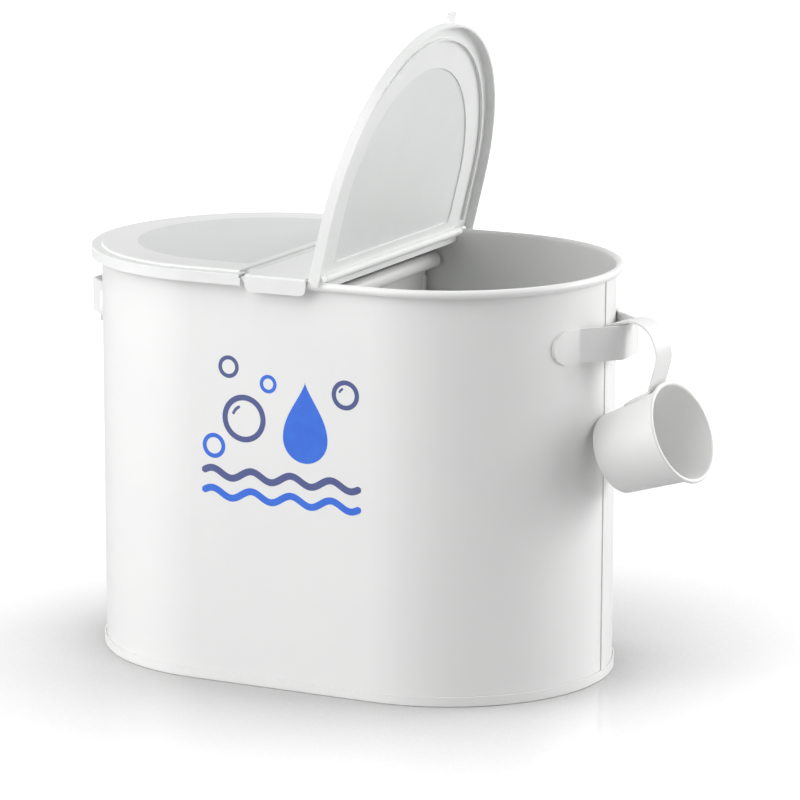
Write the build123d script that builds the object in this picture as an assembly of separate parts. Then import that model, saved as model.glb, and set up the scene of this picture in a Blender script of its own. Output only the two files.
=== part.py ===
from build123d import *
from math import asin, atan2, cos, degrees, hypot, radians, sin, sqrt, tan
import os

# Oval laundry powder box of white sheet steel: two compartments, three-part plastic lid and hanging scoop.
# Millimetres. The origin is the centre of the base on the ground, X runs along the box, the front faces -Y.

# Body wall and rim
body_length = 320.0
body_width = 200.0
body_height = 246.0
sheet = 0.6
bead_diameter = 5.0
bead_mouth = 0.3

# Base pan and its seam
pan_recess = 3.5
pan_bend = 0.8
seam_height = 6.0
seam_hook_top = 5.2
seam_hook_foot = 0.85
fold_gap = 0.05

# Lock seam down the right end
lock_seam_start = 2.6
lock_seam_width = 8.4
lock_seam_rise = 0.7

# Divider
tube_diameter = 10.0
tube_below_rim = 15.0
tube_end_gap = 2.4
panel_end_gap = 4.4
hem_width = 5.6

# Channels that hold the divider
channel_foot_gap = 1.0
channel_top = 160.0
channel_depth = 8.0
channel_slack = 0.2

# Handles
strap_height = 20.0
strap_thickness = 1.5
strap_below_rim = 28.5
strap_reach = 15.5
strap_flat = 22.6
strap_corner = 4.0
strap_foot_bend = 3.0
strap_turn = 1.5
tab_near = 30.2
tab_far = 49.8
contact_gap = 0.05

# Lid
lid_seat_gap = 0.3
lid_wall = 2.4
lid_round = 0.8
flange_wall = 1.0
flange_round = 0.5
skirt_wall = 1.4
skirt_gap = 0.6
skirt_drop = 5.2
plateau_inset = 6.4
panel_border = 21.5
panel_recess = 0.8
panel_corner = 6.0
lip_gap = 2.2
lip_wall = 1.2
lip_drop = 2.0
right_flap_open = 76.5

# Hinges
bridge_half_width = 19.6
barrel_radius = 2.6
barrel_gap = 0.6
pin_radius = 1.5
pin_clearance = 0.05
pin_length = 5.6
knuckle_length = 6.0
knuckle_gap = 0.4
barrel_inset = 10.4
notch_from_hinge = 3.4
plate_from_hinge = 1.0
plateau_from_hinge = 3.5
lip_from_hinge = 7.0
panel_from_hinge = 8.0

# Bridge
bridge_below_lid = 0.7
bridge_wall = 1.6
bridge_round = 1.4
bridge_seat_gap = 0.1
bridge_skirt_gap = 0.8
bridge_skirt_drop = 8.0
bridge_corner = 4.0
clip_width = 2.2
clip_height = 1.6
bridge_rib_gap = 0.5

# Finger tab on the open flap
finger_base = 14.0
finger_tip = 9.0
finger_length = 5.0
finger_thickness = 1.8
finger_corner = 1.5
finger_shift = 13.0

# Scoop
scoop_height = 47.5
scoop_base_radius = 24.0
scoop_mouth_radius = 30.75
scoop_curl_diameter = 2.6
scoop_curl_turn = 235.0
scoop_base_recess = 2.5
scoop_lean = 23.0
scoop_turn = -8.5
scoop_wall_gap = 0.3

# Scoop's hook
hook_width = 17.0
hook_thickness = 1.2
hook_tab_length = 18.0
hook_tab_below_mouth = 9.5
hook_reach = 4.8
hook_stand = 15.0
hook_loop = 37.6
hook_rise = 4.2
hook_span = 32.6
hook_tail = 15.0
hook_foot_round = 20.0
hook_front_round = 15.5
hook_back_round = 7.0
hook_hang_gap = 0.15

# Values that follow from these
end_x = (body_length - body_width) / 2
end_radius = body_width / 2
wall_inside = end_radius - sheet
bead_outside = bead_diameter - sheet
bead_bottom = body_height - bead_diameter
pan_floor = pan_recess + sheet
tube_z = body_height - tube_below_rim - tube_diameter / 2
lid_under = body_height + lid_seat_gap
lid_top = lid_under + lid_wall
flange_top = lid_under + flange_wall
bridge_top = lid_top - bridge_below_lid
skirt_inside = bead_outside + skirt_gap
skirt_outside = skirt_inside + skirt_wall
skirt_bottom = body_height - skirt_drop
plateau_outside = skirt_outside - plateau_inset
hinge_x = bridge_half_width + barrel_radius + barrel_gap
hinge_z = bridge_top - barrel_radius
barrel_end = wall_inside - barrel_inset
knuckle_start = barrel_end + knuckle_gap
knuckle_end = knuckle_start + knuckle_length
strap_top = body_height - strap_below_rim
strap_inside_x = body_length / 2 + strap_reach


def save(node, solid):
    """Writes one piece as its own file."""
    export_step(solid, f"parts/{node}.step")


def oval(outward):
    """Flat oval whose edge lies this far outside the wall's outer face."""
    return SlotOverall(body_length + 2 * outward, body_width + 2 * outward)


def layer(face, low, high):
    """Upright solid of a flat face, from one height to another."""
    return Pos(0, 0, low) * extrude(face, amount=high - low)


def block(x, y, z):
    """Box from three pairs of low and high values."""
    solid = Box(x[1] - x[0], y[1] - y[0], z[1] - z[0])
    return Pos((x[0] + x[1]) / 2, (y[0] + y[1]) / 2, (z[0] + z[1]) / 2) * solid


def rod(x, z, radius, y):
    """Round bar that lies along Y, between two values of y."""
    return Pos(x, (y[0] + y[1]) / 2, z) * Rot(90, 0, 0) * Cylinder(radius, y[1] - y[0])


def both_sides(solid):
    """A solid and its mirror image in the plane between front and rear."""
    return solid + mirror(solid, Plane.XZ)


def joined(*lines):
    """One wire of lines and arcs that meet end to end."""
    return Wire([edge for line in lines for edge in line.edges()])


def bent_sheet(path, thickness, side):
    """Section of bent sheet whose one face follows the path."""
    return make_face(offset(path, thickness, side=side, kind=Kind.INTERSECTION))


def ring_sector(centre, inner, outer, first, sweep):
    """Flat piece of a ring between two radii, from a first angle through a sweep."""
    near = CenterArc(centre, inner, first, sweep)
    far = CenterArc(centre, outer, first, sweep)
    return make_face(joined(near, far, Line(near @ 0, far @ 0), Line(near @ 1, far @ 1)))


def rolled_sheet(foot, top, radius, mouth):
    """Section of an upright sheet whose top edge is rolled outward until it almost meets the sheet."""
    shut = degrees(asin((radius - sheet - mouth) / radius))
    middle = Pos(top[0] + sheet / 2, (foot[1] + top[1]) / 2)
    curl = ring_sector((top[0] + radius, top[1]), radius - sheet, radius, 180, -270 - shut)
    return middle * Rectangle(sheet, top[1] - foot[1]) + curl


def carried_round(section):
    """Solid of a section, drawn in X-Z with x out from an end's centre, carried round the oval."""
    front = (Plane.XZ * section).rotate(Axis.Z, -90)
    end = Pos(end_x, 0, 0) * revolve(front, Axis.Z, 180)
    side = extrude(front, amount=end_x, dir=(1, 0, 0), both=True)
    half = end + side
    return half + half.rotate(Axis.Z, 180)


def make_shell():
    """Wall with its rolled bead, its hook in the base seam and the lock seam down the right end."""
    bead_start = (wall_inside, body_height - bead_diameter / 2)
    section = rolled_sheet((wall_inside, seam_hook_foot), bead_start, bead_diameter / 2, bead_mouth)
    hook = layer(oval(sheet) - oval(0), seam_hook_foot, seam_hook_top)
    first = degrees(asin(lock_seam_start / end_radius))
    sweep = degrees(asin((lock_seam_start + lock_seam_width) / end_radius)) - first
    seam = ring_sector((end_x, 0), wall_inside + sheet / 2, end_radius + lock_seam_rise, first, sweep)
    return carried_round(section) + hook + layer(seam, seam_height, bead_bottom)


def make_pan():
    """Floor, set up from the ground, with an edge folded round the wall's hook."""
    leg = wall_inside - fold_gap - sheet
    outside = end_radius + 2 * sheet + 2 * fold_gap
    inside = end_radius / 2
    corners = [(inside, pan_recess), (leg, pan_recess), (leg, 0), (outside, 0), (outside, seam_height)]
    edge = bent_sheet(FilletPolyline(*corners, radius=pan_bend), sheet, Side.LEFT)
    floor = layer(oval(-inside), pan_recess, pan_floor)
    return carried_round(edge) + floor


def make_divider():
    """Sheet between the compartments, its top rolled into a tube and its side edges hemmed."""
    radius = tube_diameter / 2
    face = -sheet / 2
    tube_end = wall_inside - tube_end_gap
    panel_end = wall_inside - panel_end_gap
    section = Plane.XZ * rolled_sheet((face, tube_z - radius), (face, tube_z), radius, bead_mouth)
    tube = extrude(section, amount=tube_end, both=True)
    panel = block((face, -face), (-panel_end, panel_end), (pan_floor, tube_z - radius))
    hem = block((-face, -face + sheet), (panel_end - hem_width, panel_end), (pan_floor, tube_z - 2 * radius))
    return tube + panel + both_sides(hem)


def make_channel():
    """Rear channel, welded to the wall, that holds the divider's hemmed edge."""
    near = -sheet / 2 - channel_slack
    far = 1.5 * sheet + channel_slack
    height = (pan_floor + channel_foot_gap, channel_top)
    depth = (wall_inside - channel_depth, wall_inside)
    solid = block((near - sheet, far + sheet), depth, height)
    return solid - block((near, far), (depth[0] - 1, depth[1] - sheet), height)


def make_handle():
    """Right handle: a strap with a tab welded to the wall at each end and a straight-sided loop between."""
    radius = end_radius + contact_gap
    bend = degrees(asin(tab_near / radius))
    tip = degrees(asin(tab_far / radius))
    front_tab = CenterArc((end_x, 0), radius, -tip, tip - bend)
    rear_tab = CenterArc((end_x, 0), radius, bend, tip - bend)
    corners = [(strap_inside_x, -strap_flat / 2), (strap_inside_x, strap_flat / 2)]
    loop = FilletPolyline(front_tab @ 1, *corners, rear_tab @ 0, radius=strap_corner)
    plan = bent_sheet(joined(front_tab, loop, rear_tab), strap_thickness, Side.RIGHT)
    feet = [v for v in plan.vertices() if abs(abs(v.Y) - tab_near) < 2 * strap_thickness]
    plan = fillet(feet, strap_foot_bend)
    strap = layer(plan, strap_top - strap_height, strap_top)
    rounded = Plane.YZ * SlotOverall(2 * tab_far, strap_height)
    outline = Pos(0, 0, strap_top - strap_height / 2) * extrude(rounded, amount=body_length)
    return strap & outline


def lid_area(outward, from_hinge):
    """Right part of the lid's outline, this far outside the wall, from this far beyond the hinge line."""
    start = hinge_x + from_hinge
    keep = Pos((start + body_length) / 2, 0) * Rectangle(body_length - start, 2 * body_width)
    return oval(outward) & keep


def rounded_top(solid, radius):
    """Solid with the edges of its top face rounded."""
    return fillet(solid.faces().sort_by(Axis.Z)[-1].edges(), radius)


def make_flap(with_finger):
    """Right flap, closed: flange and skirt over the bead, raised middle, lip inside it, barrel with pins."""
    flange = layer(lid_area(skirt_outside, plate_from_hinge), skirt_bottom, flange_top)
    skirt = layer(lid_area(skirt_outside, 0), skirt_bottom, hinge_z)
    flap = rounded_top(flange, flange_round) + skirt - layer(lid_area(skirt_inside, -hinge_x), 0, lid_under)
    flap += rounded_top(layer(lid_area(plateau_outside, plateau_from_hinge), lid_under, lid_top), lid_round)
    lip = lid_area(-sheet - lip_gap, lip_from_hinge) - lid_area(-sheet - lip_gap - lip_wall, 0)
    flap += layer(lip, lid_under - lip_drop, flange_top)
    panel = lid_area(plateau_outside - panel_border, panel_from_hinge)
    flap -= layer(offset(offset(panel, -panel_corner), panel_corner), 0, lid_under + panel_recess)
    notch_x = (0, hinge_x + notch_from_hinge)
    flap -= both_sides(block(notch_x, (barrel_end, knuckle_end + knuckle_gap), (0, 2 * body_height)))
    pin_end = barrel_end + pin_length
    flap += rod(hinge_x, hinge_z, barrel_radius, (-barrel_end, barrel_end))
    flap += rod(hinge_x, hinge_z, pin_radius, (-pin_end, pin_end))
    if with_finger:
        flap += make_finger()
    return flap


def make_finger():
    """Tapered tab at the tip of the flap, by which it is lifted."""
    root = body_length / 2 + plateau_outside
    tip = body_length / 2 + skirt_outside + finger_length
    half_base = finger_base / 2
    half_tip = finger_tip / 2
    outline = Polyline((root, -half_base), (tip, -half_tip), (tip, half_tip), (root, half_base), close=True)
    face = make_face(outline)
    face = fillet(face.vertices().group_by(Axis.X)[-1], finger_corner)
    return Pos(0, finger_shift, 0) * layer(face, lid_under, lid_under + finger_thickness)


def make_bridge():
    """Fixed middle strip of the lid: a channel that clips over the bead and carries the hinge knuckles."""
    under = body_height + bridge_seat_gap
    half = (-bridge_half_width, bridge_half_width)
    skirt_y = end_radius + bead_outside + bridge_skirt_gap
    outer_y = skirt_y + bridge_wall
    low = body_height - bridge_skirt_drop
    body = block(half, (-outer_y, outer_y), (low, bridge_top))
    body = fillet(body.edges().filter_by(Axis.X).group_by(Axis.Z)[-1], bridge_round)
    body = fillet(body.edges().filter_by(Axis.Y).group_by(Axis.Z)[0], bridge_corner)
    bridge = body - block(half, (-skirt_y, skirt_y), (0, under))
    clip_x = (bridge_corner - bridge_half_width, bridge_half_width - bridge_corner)
    clip_z = (bead_bottom - bridge_seat_gap - clip_height, bead_bottom - bridge_seat_gap)
    bridge += both_sides(block(clip_x, (skirt_y - clip_width, skirt_y), clip_z))
    rib_y = (wall_inside - bridge_rib_gap - bridge_wall, wall_inside - bridge_rib_gap)
    bridge += both_sides(block(half, rib_y, (low, under)))
    for x in (half[0], half[1] - bridge_wall):
        bridge += block((x, x + bridge_wall), (-rib_y[0], rib_y[0]), (low, under))
    for side in (-1, 1):
        bridge += both_sides(make_knuckle(side))
    return bridge


def make_knuckle(side):
    """Ear at the rear of the bridge, on its left or right, with the bore for a flap's pin."""
    x = sorted((side * (bridge_half_width - bridge_wall), side * hinge_x))
    y = (knuckle_start, knuckle_end)
    ear = block(x, y, (hinge_z - barrel_radius, bridge_top)) + rod(side * hinge_x, hinge_z, barrel_radius, y)
    return ear - rod(side * hinge_x, hinge_z, pin_radius + pin_clearance, (y[0] - 1, y[1] + 1))


# Scoop, drawn about its own axis: z from its base to its mouth, x towards its hook
curl_radius = scoop_curl_diameter / 2
curl_x = scoop_mouth_radius - curl_radius
curl_z = scoop_height - curl_radius
cup_foot = scoop_base_radius - sheet
curl_far = hypot(curl_x - cup_foot, curl_z)
taper = atan2(curl_x - cup_foot, curl_z) - asin(curl_radius / curl_far)
cup_length = sqrt(curl_far**2 - curl_radius**2)


def cup_inside(z):
    """Radius of the cup's inner face at a height."""
    return cup_foot + z * tan(taper)


def cup_outside(z):
    """Radius of the cup's outer face at a height."""
    return cup_inside(z) + sheet / cos(taper)


def make_cup():
    """Tapered wall with its mouth rolled outward."""
    top = cup_length * cos(taper)
    across = Vector(cos(taper), -sin(taper)) * sheet
    foot = Vector(cup_foot, 0)
    edge = Vector(cup_inside(top), top)
    wall = make_face(Polyline(foot, edge, edge + across, (cup_outside(0), 0), close=True))
    first = 180 - degrees(taper)
    curl = ring_sector((curl_x, curl_z), curl_radius - sheet, curl_radius, first, -scoop_curl_turn)
    return revolve(Plane.XZ * (wall + curl), Axis.Z, 360)


def make_cup_base():
    """Bottom disc with its edge turned down inside the wall."""
    seat = fold_gap + sheet
    corner = (cup_inside(scoop_base_recess) - seat, scoop_base_recess)
    path = Polyline((0, scoop_base_recess), corner, (cup_inside(0) - seat, 0))
    return revolve(Plane.XZ * bent_sheet(path, sheet, Side.LEFT), Axis.Z, 360)


def cone_layer(inward, outward, z):
    """Part of a cone that follows the cup's outer face, between two distances from it and two heights."""
    near = [cup_outside(h) + inward for h in z]
    far = [cup_outside(h) + outward for h in z]
    outline = Polyline((near[0], z[0]), (far[0], z[0]), (far[1], z[1]), (near[1], z[1]), close=True)
    return revolve(Plane.XZ * make_face(outline), Axis.Z, 360)


def make_hook():
    """Open hook of bent strap, its tab welded along the cup, that hangs over the box's handle."""
    front = scoop_height + hook_reach
    low = scoop_mouth_radius + hook_stand
    high = scoop_mouth_radius + hook_loop
    tail = high + hook_rise
    tab_end = scoop_height - hook_tab_below_mouth
    foot = cup_outside(tab_end)
    points = [
        (foot - hook_thickness, tab_end - hook_thickness),
        (low, front),
        (high, front),
        (tail, front - hook_span),
        (tail - hook_tail, front - hook_span),
    ]
    path = FilletPolyline(*points, radius=[hook_foot_round, hook_front_round, hook_back_round])
    strap = extrude(Plane.XZ * bent_sheet(path, hook_thickness, Side.LEFT), amount=hook_width / 2, both=True)
    inside_cup = cone_layer(-scoop_base_radius / 2, contact_gap, (0, scoop_height))
    tab = cone_layer(contact_gap, contact_gap + hook_thickness, (tab_end - hook_tab_length, tab_end))
    width = (-hook_width / 2, hook_width / 2)
    return (tab & block((0, 2 * scoop_base_radius), width, (0, scoop_height))) + (strap - inside_cup)


def hung(solid):
    """Puts a piece of the scoop where it hangs: hook on the handle's top edge, base against the end wall."""
    lean = radians(scoop_lean)
    turn = radians(scoop_turn)
    axis = Vector(cos(lean) * cos(turn), cos(lean) * sin(turn), sin(lean))
    up = Vector(-sin(lean) * cos(turn), -sin(lean) * sin(turn), cos(lean))
    base_x = body_length / 2 + scoop_wall_gap + scoop_base_radius * sqrt(1 - axis.X**2)
    base_y = (base_x - strap_inside_x) * tan(turn)
    along = (strap_inside_x - base_x) / cos(turn) - hook_width / 2 * abs(sin(turn))
    slope = hook_rise / hook_span
    inner = scoop_mouth_radius + hook_loop + (scoop_height + hook_reach) * slope
    z = (along + inner * sin(lean)) / (cos(lean) + slope * sin(lean))
    seat = z * sin(lean) + (inner - z * slope) * cos(lean)
    base = Vector(base_x, base_y, strap_top + hook_hang_gap - seat)
    return Plane(origin=base, x_dir=up, z_dir=axis) * solid


os.makedirs("parts", exist_ok=True)
hinge = Axis((hinge_x, 0, hinge_z), (0, -1, 0))
rear_channel = make_channel()
handle = make_handle().rotate(Axis((end_x, 0, 0), (0, 0, 1)), strap_turn)

save("body_shell", make_shell())
save("base_pan", make_pan())
save("divider_panel", make_divider())
save("divider_channel_rear", rear_channel)
save("divider_channel_front", mirror(rear_channel, Plane.XZ))
save("handle_right", handle)
save("handle_left", mirror(handle, Plane.YZ))
save("lid_bridge", make_bridge())
save("lid_flap_left", mirror(make_flap(False), Plane.YZ))
save("lid_flap_right", make_flap(True).rotate(hinge, right_flap_open))
save("scoop_cup", hung(make_cup()))
save("scoop_base", hung(make_cup_base()))
save("scoop_hook", hung(make_hook()))
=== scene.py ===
import math

import bpy
from mathutils import Matrix, Vector


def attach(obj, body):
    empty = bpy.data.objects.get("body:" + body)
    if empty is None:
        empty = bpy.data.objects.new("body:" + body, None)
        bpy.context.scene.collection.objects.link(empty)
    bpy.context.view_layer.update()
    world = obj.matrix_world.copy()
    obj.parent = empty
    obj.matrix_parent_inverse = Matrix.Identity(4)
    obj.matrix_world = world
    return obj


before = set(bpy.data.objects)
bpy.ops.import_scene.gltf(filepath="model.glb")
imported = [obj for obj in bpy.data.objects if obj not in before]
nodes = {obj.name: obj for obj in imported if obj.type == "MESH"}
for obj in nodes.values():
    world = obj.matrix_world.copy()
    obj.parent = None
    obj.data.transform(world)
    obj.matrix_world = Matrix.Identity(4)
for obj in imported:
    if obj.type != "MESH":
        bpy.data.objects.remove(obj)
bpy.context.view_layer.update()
print("frame loaded:", len(nodes), "nodes")


def linear(hexColour):
    # sRGB hex to linear RGBA
    channels = [int(hexColour[i : i + 2], 16) / 255 for i in (1, 3, 5)]
    return [c / 12.92 if c <= 0.04045 else ((c + 0.055) / 1.055) ** 2.4 for c in channels] + [1]


def perMetre(millimetres):
    # noise scale that gives one cell of this size
    return 1000 / millimetres


def addNode(tree, kind, links=None, **settings):
    # one node with its settings, its plain input values and its links; inputs go by name or number, and a
    # Mix node's are 0 for the factor, 2 and 3 for plain values, 6 and 7 for colours
    node = tree.nodes.new(kind)
    for name, value in settings.items():
        setattr(node, name, value)
    for name, value in (links or {}).items():
        if isinstance(value, bpy.types.NodeSocket):
            tree.links.new(value, node.inputs[name])
        else:
            node.inputs[name].default_value = value
    return node


def newMaterial(name):
    material = bpy.data.materials.new(name)
    material.use_nodes = True
    material.node_tree.nodes.clear()
    return material, material.node_tree


# White powder coat on sheet steel: an even satin skin with faint orange peel, over slightly wavy sheet
coat = {
    "light": "#F4F4F3",
    "dark": "#EFF0EF",
    "roughness": (0.30, 0.38),
    "ior": 1.5,
    "peelSize": 1.6,  # mm, drawn coarser than the real 0.8 mm so that it shows
    "peelDepth": 0.012,
    "waveSize": 70,  # mm, soft waves left by rolling the sheet
    "waveDepth": 0.35,
    "toneSize": 40,
    "toneDetail": 3.0,
    "peelDetail": 1.0,
    "waveDetail": 0.0,
}


def makeCoat(name, look):
    material, tree = newMaterial(name)
    place = addNode(tree, "ShaderNodeTexCoord").outputs["Object"]
    tone = addNode(
        tree,
        "ShaderNodeTexNoise",
        {"Vector": place, "Scale": perMetre(look["toneSize"]), "Detail": look["toneDetail"]},
    )
    colour = addNode(
        tree,
        "ShaderNodeMix",
        {0: tone.outputs["Fac"], 6: linear(look["dark"]), 7: linear(look["light"])},
        data_type="RGBA",
    )
    low, high = look["roughness"]
    rough = addNode(tree, "ShaderNodeMapRange", {"Value": tone.outputs["Fac"], "To Min": low, "To Max": high})
    peel = addNode(
        tree,
        "ShaderNodeTexNoise",
        {"Vector": place, "Scale": perMetre(look["peelSize"]), "Detail": look["peelDetail"]},
    )
    wave = addNode(
        tree,
        "ShaderNodeTexNoise",
        {"Vector": place, "Scale": perMetre(look["waveSize"]), "Detail": look["waveDetail"]},
    )
    waved = addNode(
        tree,
        "ShaderNodeBump",
        {"Height": wave.outputs["Fac"], "Strength": 1.0, "Distance": look["waveDepth"] / 1000},
    )
    bump = addNode(
        tree,
        "ShaderNodeBump",
        {
            "Height": peel.outputs["Fac"],
            "Strength": 1.0,
            "Distance": look["peelDepth"] / 1000,
            "Normal": waved.outputs["Normal"],
        },
    )
    shader = addNode(
        tree,
        "ShaderNodeBsdfPrincipled",
        {
            "Base Color": colour.outputs[2],
            "Roughness": rough.outputs["Result"],
            "IOR": look["ior"],
            "Normal": bump.outputs["Normal"],
        },
    )
    addNode(tree, "ShaderNodeOutputMaterial", {"Surface": shader.outputs["BSDF"]})
    return material


# Natural polypropylene, injection moulded: milky, a polished middle panel inside a frosted, whiter border
lidPlastic = {
    "border": "#ECEDEC",
    "panel": "#D8DAD9",
    "borderRoughness": 0.42,
    "panelRoughness": 0.30,
    "ior": 1.49,
    "borderGlow": 0.12,  # share of the light that passes into the thick border
    "panelGlow": 0.5,  # and into the thin panel, where a lit face brightens the other one
    "glowDepth": 4.0,  # mm that it travels
    "glowSpread": (1.0, 1.0, 1.0),  # the same depth for red, green and blue
    "grainSize": 0.9,  # mm, spark-eroded grain of the mould, drawn coarser than the real 0.1 mm
    "grainDepth": 0.006,
    "sinkSize": 55,  # mm, slow warp of a thin moulded panel
    "sinkDepth": 0.25,
    "toneSize": 30,
    "toneSpread": 0.03,
    "toneDetail": 2.0,
    "grainDetail": 1.0,
    "sinkDetail": 0.0,
    "endX": 0.060,  # m, where the lid's outline turns into a half circle
    "panelRadius": 0.0785,
    "panelStart": 0.0308,  # m from the middle of the lid
    "panelBlend": 0.0012,  # m over which border turns into panel
}
# Each plastic node: None has no panel, and a flap's side and opening in degrees place its panel
flapPlanes = {
    "lid_bridge": None,
    "lid_flap_left": {"side": -1, "opened": 0.0},
    "lid_flap_right": {"side": 1, "opened": 76.5},
}
hinge = (0.0228, 0.2454)  # m, x and z of the right flap's hinge; the left one is its mirror image


def panelMask(tree, place, look, plane):
    # 1 inside the polished panel, 0 on the border, measured in the flap's own plane
    angle = math.radians(plane["opened"])
    side = plane["side"]
    direction = (side * math.cos(angle), 0, math.sin(angle))
    shift = hinge[0] - hinge[0] * math.cos(angle) - hinge[1] * math.sin(angle)
    dot = addNode(tree, "ShaderNodeVectorMath", {0: place, 1: direction}, operation="DOT_PRODUCT")
    along = addNode(tree, "ShaderNodeMath", {0: dot.outputs["Value"], 1: shift}, operation="ADD")
    past = addNode(tree, "ShaderNodeMath", {0: along.outputs[0], 1: look["endX"]}, operation="SUBTRACT")
    beyond = addNode(tree, "ShaderNodeMath", {0: past.outputs[0], 1: 0.0}, operation="MAXIMUM")
    axes = addNode(tree, "ShaderNodeSeparateXYZ", {0: place})
    flat = addNode(tree, "ShaderNodeCombineXYZ", {0: beyond.outputs[0], 1: axes.outputs["Y"]})
    reach = addNode(tree, "ShaderNodeVectorMath", {0: flat.outputs[0]}, operation="LENGTH")
    blend = look["panelBlend"] / 2
    inside = addNode(
        tree,
        "ShaderNodeMapRange",
        {
            "Value": reach.outputs["Value"],
            "From Min": look["panelRadius"] - blend,
            "From Max": look["panelRadius"] + blend,
            "To Min": 1.0,
            "To Max": 0.0,
        },
    )
    started = addNode(
        tree,
        "ShaderNodeMapRange",
        {
            "Value": along.outputs[0],
            "From Min": look["panelStart"] - blend,
            "From Max": look["panelStart"] + blend,
        },
    )
    mask = addNode(
        tree,
        "ShaderNodeMath",
        {0: inside.outputs["Result"], 1: started.outputs["Result"]},
        operation="MULTIPLY",
    )
    return mask.outputs[0]


def makePlastic(name, look, plane):
    material, tree = newMaterial(name)
    place = addNode(tree, "ShaderNodeTexCoord").outputs["Object"]
    ground = linear(look["border"])[:3]
    roughness = look["borderRoughness"]
    glow = look["borderGlow"]
    if plane:
        mask = panelMask(tree, place, look, plane)
        zones = addNode(
            tree,
            "ShaderNodeMix",
            {0: mask, 6: linear(look["border"]), 7: linear(look["panel"])},
            data_type="RGBA",
        )
        ground = zones.outputs[2]
        polish = addNode(
            tree,
            "ShaderNodeMapRange",
            {"Value": mask, "To Min": look["borderRoughness"], "To Max": look["panelRoughness"]},
        )
        roughness = polish.outputs["Result"]
        thin = addNode(
            tree,
            "ShaderNodeMapRange",
            {"Value": mask, "To Min": look["borderGlow"], "To Max": look["panelGlow"]},
        )
        glow = thin.outputs["Result"]
    tone = addNode(
        tree,
        "ShaderNodeTexNoise",
        {"Vector": place, "Scale": perMetre(look["toneSize"]), "Detail": look["toneDetail"]},
    )
    cloud = addNode(
        tree,
        "ShaderNodeMapRange",
        {"Value": tone.outputs["Fac"], "To Min": 1 - look["toneSpread"], "To Max": 1 + look["toneSpread"]},
    )
    colour = addNode(
        tree,
        "ShaderNodeVectorMath",
        {0: ground, "Scale": cloud.outputs["Result"]},
        operation="SCALE",
    )
    grain = addNode(
        tree,
        "ShaderNodeTexNoise",
        {"Vector": place, "Scale": perMetre(look["grainSize"]), "Detail": look["grainDetail"]},
    )
    sink = addNode(
        tree,
        "ShaderNodeTexNoise",
        {"Vector": place, "Scale": perMetre(look["sinkSize"]), "Detail": look["sinkDetail"]},
    )
    warped = addNode(
        tree,
        "ShaderNodeBump",
        {"Height": sink.outputs["Fac"], "Strength": 1.0, "Distance": look["sinkDepth"] / 1000},
    )
    bump = addNode(
        tree,
        "ShaderNodeBump",
        {
            "Height": grain.outputs["Fac"],
            "Strength": 1.0,
            "Distance": look["grainDepth"] / 1000,
            "Normal": warped.outputs["Normal"],
        },
    )
    shader = addNode(
        tree,
        "ShaderNodeBsdfPrincipled",
        {
            "Base Color": colour.outputs["Vector"],
            "Roughness": roughness,
            "IOR": look["ior"],
            "Subsurface Weight": glow,
            "Subsurface Radius": look["glowSpread"],
            "Subsurface Scale": look["glowDepth"] / 1000,
            "Normal": bump.outputs["Normal"],
        },
        subsurface_method="BURLEY",
    )
    addNode(tree, "ShaderNodeOutputMaterial", {"Surface": shader.outputs["BSDF"]})
    return material


# Screen-print enamel: a thin opaque ink film with a faint cloud, a little glossier than the coat
inks = {
    "blue": ("#3F7FEA", "#3566DE"),
    "slate": ("#5A6496", "#4D5790"),
    "roughness": (0.26, 0.34),
    "ior": 1.52,
    "cloudSize": 9,
    "cloudDetail": 2.0,
    "meshSize": 0.5,  # mm, print of the screen's mesh
    "meshDepth": 0.004,
    "meshDetail": 1.0,
}


def makeInk(name, shades, look):
    material, tree = newMaterial(name)
    place = addNode(tree, "ShaderNodeTexCoord").outputs["Object"]
    cloud = addNode(
        tree,
        "ShaderNodeTexNoise",
        {"Vector": place, "Scale": perMetre(look["cloudSize"]), "Detail": look["cloudDetail"]},
    )
    colour = addNode(
        tree,
        "ShaderNodeMix",
        {0: cloud.outputs["Fac"], 6: linear(shades[0]), 7: linear(shades[1])},
        data_type="RGBA",
    )
    mesh = addNode(
        tree,
        "ShaderNodeTexNoise",
        {"Vector": place, "Scale": perMetre(look["meshSize"]), "Detail": look["meshDetail"]},
    )
    low, high = look["roughness"]
    rough = addNode(tree, "ShaderNodeMapRange", {"Value": mesh.outputs["Fac"], "To Min": low, "To Max": high})
    bump = addNode(
        tree,
        "ShaderNodeBump",
        {"Height": mesh.outputs["Fac"], "Strength": 1.0, "Distance": look["meshDepth"] / 1000},
    )
    shader = addNode(
        tree,
        "ShaderNodeBsdfPrincipled",
        {
            "Base Color": colour.outputs[2],
            "Roughness": rough.outputs["Result"],
            "IOR": look["ior"],
            "Normal": bump.outputs["Normal"],
        },
    )
    addNode(tree, "ShaderNodeOutputMaterial", {"Surface": shader.outputs["BSDF"]})
    return material


steelCoat = makeCoat("powder coated steel", coat)
inkMaterials = {
    "blue": makeInk("blue screen print enamel", inks["blue"], inks),
    "slate": makeInk("slate screen print enamel", inks["slate"], inks),
}

for nodeName, nodeObject in nodes.items():
    nodeObject.data.materials.clear()
    if nodeName in flapPlanes:
        flapPlane = flapPlanes[nodeName]
        plastic = makePlastic("moulded polypropylene " + nodeName, lidPlastic, flapPlane)
        nodeObject.data.materials.append(plastic)
    else:
        nodeObject.data.materials.append(steelCoat)
print("materials made and assigned")


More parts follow.
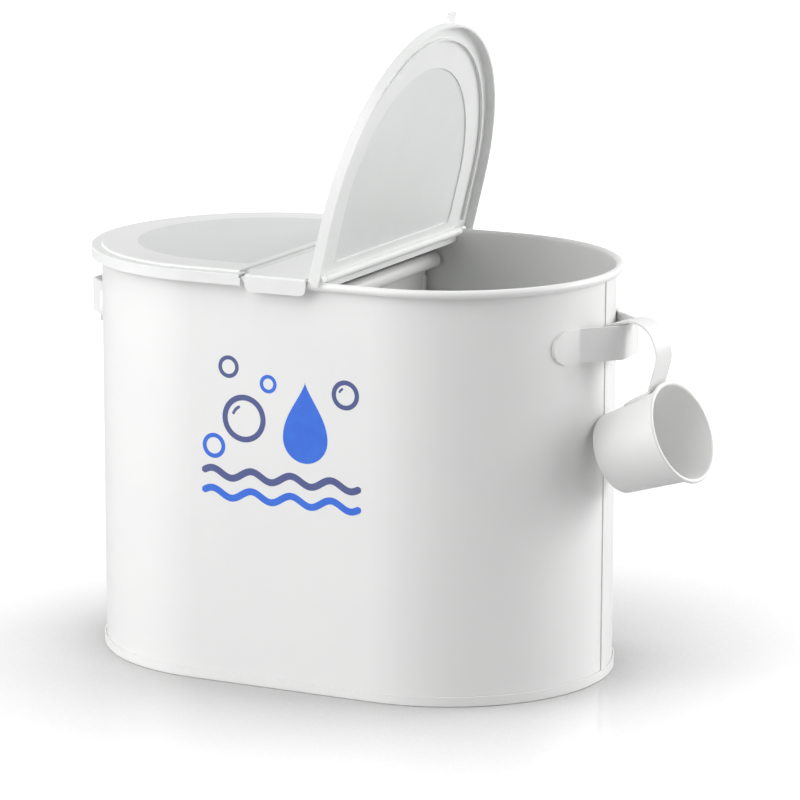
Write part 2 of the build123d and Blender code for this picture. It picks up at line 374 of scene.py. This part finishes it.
# Printed motifs on the flat front: bubbles with a shine, a water drop and two waves
printFront = {
    "wall": -0.100,  # m, y of the wall's outer face; places below are (x, z)
    "inkThickness": 0.00006,
    "waves": {
        "Upper": {"middle": (0.0, 0.127), "length": 0.104, "height": 0.0026, "count": 4, "ink": "slate"},
        "Lower": {"middle": (0.0, 0.115), "length": 0.104, "height": 0.0026, "count": 4, "ink": "blue"},
    },
    "waveWidth": 0.0042,
    "endWidth": 0.02,  # share of a stroke's width at the very end of its round ends
    "drop": {
        "foot": (0.016, 0.138),
        "height": 0.048,
        "width": 0.029,
        "taper": 0.66,  # below 1 keeps the flanks full towards the tip
        "tipWidth": 0.003,  # share of the width at the tip and the foot
        "ink": "blue",
    },
    "bubbles": {
        "Large": {"middle": (-0.024, 0.161), "radius": 0.0125, "line": 0.0034, "ink": "slate"},
        "Middle": {"middle": (-0.044, 0.143), "radius": 0.0062, "line": 0.0026, "ink": "blue"},
        "Small": {"middle": (-0.008, 0.183), "radius": 0.0044, "line": 0.0022, "ink": "blue"},
        "Right": {"middle": (0.042, 0.181), "radius": 0.0074, "line": 0.0028, "ink": "slate"},
        "Top": {"middle": (-0.034, 0.191), "radius": 0.0055, "line": 0.0024, "ink": "slate"},
    },
    "shines": {
        "Large": {"middle": (-0.024, 0.161), "radius": 0.0074, "line": 0.0018, "ink": "slate"},
        "Right": {"middle": (0.042, 0.181), "radius": 0.0040, "line": 0.0014, "ink": "slate"},
    },
    "shineArc": (110, 165),  # degrees
    "steps": {"wave": 160, "drop": 60, "ring": 72, "shine": 24},
}


def inkStroke(name, path, halfWidth, ink, closed=False):
    # thin raised stroke along (x, z) points; its half width is a function of 0 to 1 along the path
    count = len(path)
    wall = printFront["wall"]
    front = wall - printFront["inkThickness"]
    spans = count if closed else count - 1
    lengths = [0.0]
    for start, end in zip(path, path[1:]):
        lengths.append(lengths[-1] + math.dist(start, end))
    vertices = []
    for i, (x, z) in enumerate(path):
        before = path[(i - 1) % count] if closed or i else path[0]
        after = path[(i + 1) % count] if closed or i < count - 1 else path[-1]
        along = Vector((after[0] - before[0], after[1] - before[1])).normalized()
        half = halfWidth(lengths[i] / lengths[-1])
        side = Vector((-along.y, along.x)) * half
        for y in (front, wall):
            vertices.append((x + side.x, y, z + side.y))
            vertices.append((x - side.x, y, z - side.y))
    faces = []
    for i in range(spans):
        a = 4 * i
        b = 4 * ((i + 1) % count)
        faces.append((a, a + 1, b + 1, b))
        faces.append((a + 2, b + 2, b + 3, a + 3))
        faces.append((a, b, b + 2, a + 2))
        faces.append((a + 1, a + 3, b + 3, b + 1))
    if not closed:
        last = 4 * (count - 1)
        faces += [(0, 2, 3, 1), (last, last + 1, last + 3, last + 2)]
    mesh = bpy.data.meshes.new(name)
    mesh.from_pydata(vertices, [], faces)
    mesh.materials.append(inkMaterials[ink])
    piece = bpy.data.objects.new(name, mesh)
    bpy.context.scene.collection.objects.link(piece)
    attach(piece, "box")
    return piece


def roundEnds(width, length):
    # half width of a stroke with round ends
    def half(t):
        reach = min(t, 1 - t) * length
        if reach >= width / 2:
            return width / 2
        return max(math.sqrt(max(width * reach - reach * reach, 0)), width * printFront["endWidth"])

    return half


def evenWidth(width):
    # the same half width all along
    return lambda t: width / 2


def dropHalf(drop):
    # half width of a water drop: a half circle at the foot (0), then a taper to the tip (1)
    height = drop["height"]
    radius = drop["width"] / 2

    def half(t):
        rise = t * height
        if rise < radius:
            swell = math.sqrt(max(radius**2 - (radius - rise) ** 2, 0)) / radius
        else:
            share = (rise - radius) / (height - radius)
            swell = (0.5 + 0.5 * math.cos(math.pi * share)) ** drop["taper"]
        return max(radius * swell, drop["width"] * drop["tipWidth"])

    return half


def arcPath(middle, radius, start, end, steps):
    points = []
    for i in range(steps + 1):
        turn = math.radians(start + (end - start) * i / steps)
        points.append((middle[0] + radius * math.cos(turn), middle[1] + radius * math.sin(turn)))
    return points


def wavePath(wave, steps):
    x, z = wave["middle"]
    points = []
    for i in range(steps + 1):
        t = i / steps
        rise = wave["height"] * math.sin(2 * math.pi * wave["count"] * t)
        points.append((x + (t - 0.5) * wave["length"], z + rise))
    return points


def linePath(start, length, steps):
    # upward line; its points crowd towards both ends, so that round ends stay smooth
    points = []
    for i in range(steps + 1):
        t = 0.5 - 0.5 * math.cos(math.pi * i / steps)
        points.append((start[0], start[1] + length * t))
    return points


steps = printFront["steps"]
for waveName, wave in printFront["waves"].items():
    waveHalf = roundEnds(printFront["waveWidth"], wave["length"])
    inkStroke("printWave" + waveName, wavePath(wave, steps["wave"]), waveHalf, wave["ink"])

drop = printFront["drop"]
dropLine = linePath(drop["foot"], drop["height"], steps["drop"])
inkStroke("printDrop", dropLine, dropHalf(drop), drop["ink"])

for bubbleName, bubble in printFront["bubbles"].items():
    ring = arcPath(bubble["middle"], bubble["radius"], 0, 360, steps["ring"])[:-1]
    inkStroke("printBubble" + bubbleName, ring, evenWidth(bubble["line"]), bubble["ink"], closed=True)

start, end = printFront["shineArc"]
for shineName, shine in printFront["shines"].items():
    shineArc = arcPath(shine["middle"], shine["radius"], start, end, steps["shine"])
    shineHalf = roundEnds(shine["line"], math.radians(end - start) * shine["radius"])
    inkStroke("printShine" + shineName, shineArc, shineHalf, shine["ink"])
print("print made")


# Floor, backdrop and lights
studio = {
    "floorColour": "#BDBDBD",
    "floorSize": 30,
    "floorRoughness": 0.14,
    "floorIor": 1.5,
    "paintedShadeAim": (-0.36, 0.74, 0.57),  # direction of the painted shade: where the object hides it, the floor gets less extra white
    "paintedShadeReach": 0.5,  # m over which the object darkens the floor with painted shade
    "openSamples": 16,
    "paintedShadeRange": (0.56, 0.94),  # share of the aim direction in view where the floor's extra white starts and is full; less is painted shade
    "floorWhiteNear": 0.57,  # extra white that the camera sees where the object hides nothing; in front of the object it falls away as painted shade
    "floorWhiteFar": 0.5,  # and what distance adds
    "fadeFrom": 0.4,  # m from the middle of the object
    "fadeTo": 1.6,
    "worldLevel": 0.22,
    "glossLevel": 0.85,  # what glossy surfaces mirror all round
    "target": (0.02, 0.0, 0.12),  # what the lamps point at
}
# Degrees round from the printed front and up, metres, and the brightness that a lamp gives a white face
lamps = {
    "leftWindow": {"azimuth": -50, "elevation": 17, "distance": 2.3, "size": 1.5, "level": 0.50},
    "frontSoftbox": {"azimuth": -20, "elevation": 30, "distance": 2.3, "size": 1.3, "level": 0.17},
    "rightSoftbox": {"azimuth": 108, "elevation": 17, "distance": 2.3, "size": 1.1, "level": 0.39},
    "rearSoftbox": {"azimuth": 140, "elevation": 25, "distance": 2.3, "size": 1.2, "level": 0.44},
    "topSoftbox": {"azimuth": -15, "elevation": 60, "distance": 2.3, "size": 1.3, "level": 0.32},
    "backSoftbox": {"azimuth": 180, "elevation": 50, "distance": 2.3, "size": 1.4, "level": 0.05},
}


def makeFloor():
    material, tree = newMaterial("pale studio floor")
    rays = addNode(tree, "ShaderNodeLightPath")
    satin = addNode(
        tree,
        "ShaderNodeBsdfPrincipled",
        {
            "Base Color": linear(studio["floorColour"]),
            "Roughness": studio["floorRoughness"],
            "IOR": studio["floorIor"],
        },
    )
    place = addNode(tree, "ShaderNodeTexCoord").outputs["Object"]
    away = addNode(tree, "ShaderNodeVectorMath", {0: place}, operation="LENGTH")
    fade = addNode(
        tree,
        "ShaderNodeMapRange",
        {
            "Value": away.outputs["Value"],
            "From Min": studio["fadeFrom"],
            "From Max": studio["fadeTo"],
            "To Max": studio["floorWhiteFar"],
        },
    )
    # painted shade: how much of the aim direction the object leaves open, which masks the floor's extra white
    sky = addNode(
        tree,
        "ShaderNodeAmbientOcclusion",
        {"Distance": studio["paintedShadeReach"], "Normal": studio["paintedShadeAim"]},
        samples=studio["openSamples"],
    )
    low, high = studio["paintedShadeRange"]
    # extra white held back where the object hides the aim direction, a painted shadow on the floor in front
    # of it
    opened = addNode(
        tree,
        "ShaderNodeMapRange",
        {
            "Value": sky.outputs["AO"],
            "From Min": low,
            "From Max": high,
            "To Max": studio["floorWhiteNear"],
        },
    )
    extra = addNode(
        tree,
        "ShaderNodeMath",
        {0: opened.outputs["Result"], 1: fade.outputs["Result"]},
        operation="ADD",
    )
    strength = addNode(
        tree,
        "ShaderNodeMath",
        {0: rays.outputs["Is Camera Ray"], 1: extra.outputs[0]},
        operation="MULTIPLY",
    )
    white = addNode(
        tree,
        "ShaderNodeEmission",
        {"Color": (1, 1, 1, 1), "Strength": strength.outputs["Value"]},
    )
    both = addNode(tree, "ShaderNodeAddShader", {0: satin.outputs["BSDF"], 1: white.outputs["Emission"]})
    addNode(tree, "ShaderNodeOutputMaterial", {"Surface": both.outputs["Shader"]})
    half = studio["floorSize"] / 2
    mesh = bpy.data.meshes.new("floor")
    corners = [(-half, -half, 0), (half, -half, 0), (half, half, 0), (-half, half, 0)]
    mesh.from_pydata(corners, [], [(0, 1, 2, 3)])
    mesh.materials.append(material)
    floor = bpy.data.objects.new("floor", mesh)
    bpy.context.scene.collection.objects.link(floor)


def makeWorld():
    # white for the camera, a plain level for diffuse light, and a white room for gloss
    world = bpy.data.worlds.new("studio")
    world.use_nodes = True
    bpy.context.scene.world = world
    tree = world.node_tree
    tree.nodes.clear()
    rays = addNode(tree, "ShaderNodeLightPath")
    gloss = addNode(
        tree,
        "ShaderNodeMath",
        {0: rays.outputs["Is Glossy Ray"], 1: rays.outputs["Is Transmission Ray"]},
        operation="MAXIMUM",
    )
    scattered = addNode(
        tree,
        "ShaderNodeMix",
        {0: gloss.outputs[0], 2: studio["worldLevel"], 3: studio["glossLevel"]},
    )
    level = addNode(
        tree,
        "ShaderNodeMix",
        {0: rays.outputs["Is Camera Ray"], 2: scattered.outputs[0], 3: 1.0},
    )
    sky = addNode(tree, "ShaderNodeBackground", {"Color": (1, 1, 1, 1), "Strength": level.outputs[0]})
    addNode(tree, "ShaderNodeOutputWorld", {"Surface": sky.outputs["Background"]})


def makeLamp(name, lamp):
    azimuth = math.radians(lamp["azimuth"])
    elevation = math.radians(lamp["elevation"])
    flat = math.cos(elevation)
    away = Vector((math.sin(azimuth) * flat, -math.cos(azimuth) * flat, math.sin(elevation)))
    light = bpy.data.lights.new(name, "AREA")
    light.shape = "SQUARE"
    light.size = lamp["size"]
    light.energy = lamp["level"] * math.pi**2 * lamp["distance"] ** 2
    holder = bpy.data.objects.new(name, light)
    holder.location = Vector(studio["target"]) + away * lamp["distance"]
    holder.rotation_euler = away.to_track_quat("Z", "Y").to_euler()
    bpy.context.scene.collection.objects.link(holder)


makeFloor()
makeWorld()
for lampName, lamp in lamps.items():
    makeLamp(lampName, lamp)
print("floor and lights made")


# Camera at the photograph's angle, from a fit of the rim and base ovals
photoCamera = {
    "azimuth": 26.3,
    "elevation": 12.83,
    "distance": 2.487,
    "target": (0, 0, 0.123),
    "lens": 185.3,
    "sensor": 36,
    "shift": (0.0539, 0.065),
    "clipEnd": 100,
}


def makeCamera(view):
    azimuth = math.radians(view["azimuth"])
    elevation = math.radians(view["elevation"])
    flat = math.cos(elevation)
    back = Vector((math.sin(azimuth) * flat, -math.cos(azimuth) * flat, math.sin(elevation)))
    right = Vector((math.cos(azimuth), math.sin(azimuth), 0))
    up = back.cross(right)
    lens = bpy.data.cameras.new("photoCamera")
    lens.sensor_width = view["sensor"]
    lens.lens = view["lens"]
    lens.shift_x, lens.shift_y = view["shift"]
    lens.clip_end = view["clipEnd"]
    camera = bpy.data.objects.new("photoCamera", lens)
    axes = Matrix((right, up, back)).transposed().to_4x4()
    camera.matrix_world = Matrix.Translation(Vector(view["target"]) + back * view["distance"]) @ axes
    bpy.context.scene.collection.objects.link(camera)
    bpy.context.scene.camera = camera


makeCamera(photoCamera)
bpy.context.scene.view_settings.view_transform = "Standard"
print("camera placed")
